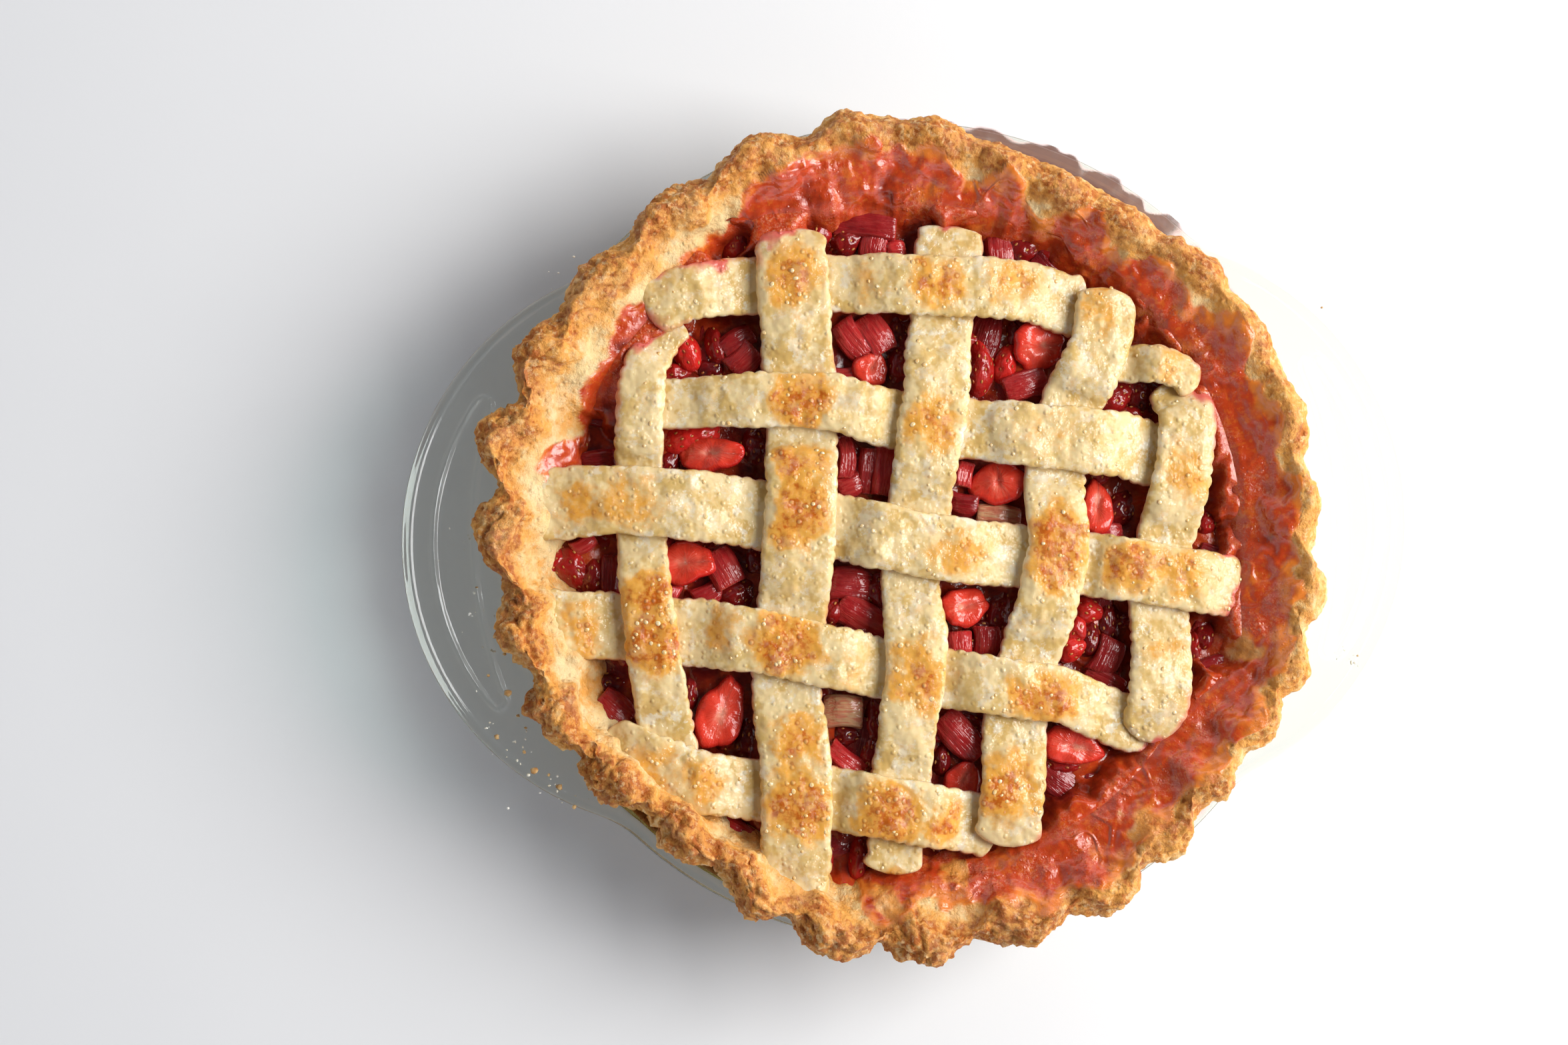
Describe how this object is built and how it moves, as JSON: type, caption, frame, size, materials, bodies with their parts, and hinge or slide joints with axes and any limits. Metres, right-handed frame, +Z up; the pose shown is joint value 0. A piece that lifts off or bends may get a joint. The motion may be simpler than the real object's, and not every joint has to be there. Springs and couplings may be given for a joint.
{
  "type": "lattice fruit pie in a glass pie dish",
  "caption": "Round fruit pie with a fluted pastry rim and a woven dough lattice over strawberry and rhubarb in syrup, in a clear glass pie dish with ears that serve as handles.",
  "frame": {"origin": "centre of the dish's foot, on the surface it stands on", "axes": "+X along the dish's ears, +Y across them, away from the viewer in the picture, +Z up out of the pie"},
  "size_m": [0.3044, 0.2523, 0.0594],
  "materials": {
    "clear_glass": "clear pressed glass, faintly green at its edges",
    "baked_pastry": "baked shortcrust pastry, rough and crumbly",
    "glazed_dough": "pale baked dough with egg wash and coarse sugar",
    "fruit_in_syrup": "cooked red fruit, wet with syrup"
  },
  "bodies": {
    "root": {"dish": "clear_glass", "pastry_case": "baked_pastry", "filling": "fruit_in_syrup", "upright_strip_1": "glazed_dough", "upright_strip_2": "glazed_dough", "upright_strip_3": "glazed_dough", "upright_strip_4": "glazed_dough", "upright_strip_5": "glazed_dough", "cross_strip_1": "glazed_dough", "cross_strip_2": "glazed_dough", "cross_strip_3": "glazed_dough", "cross_strip_4": "glazed_dough", "cross_strip_5": "glazed_dough", "cross_strip_6": "glazed_dough"}
  },
  "joints": []
}
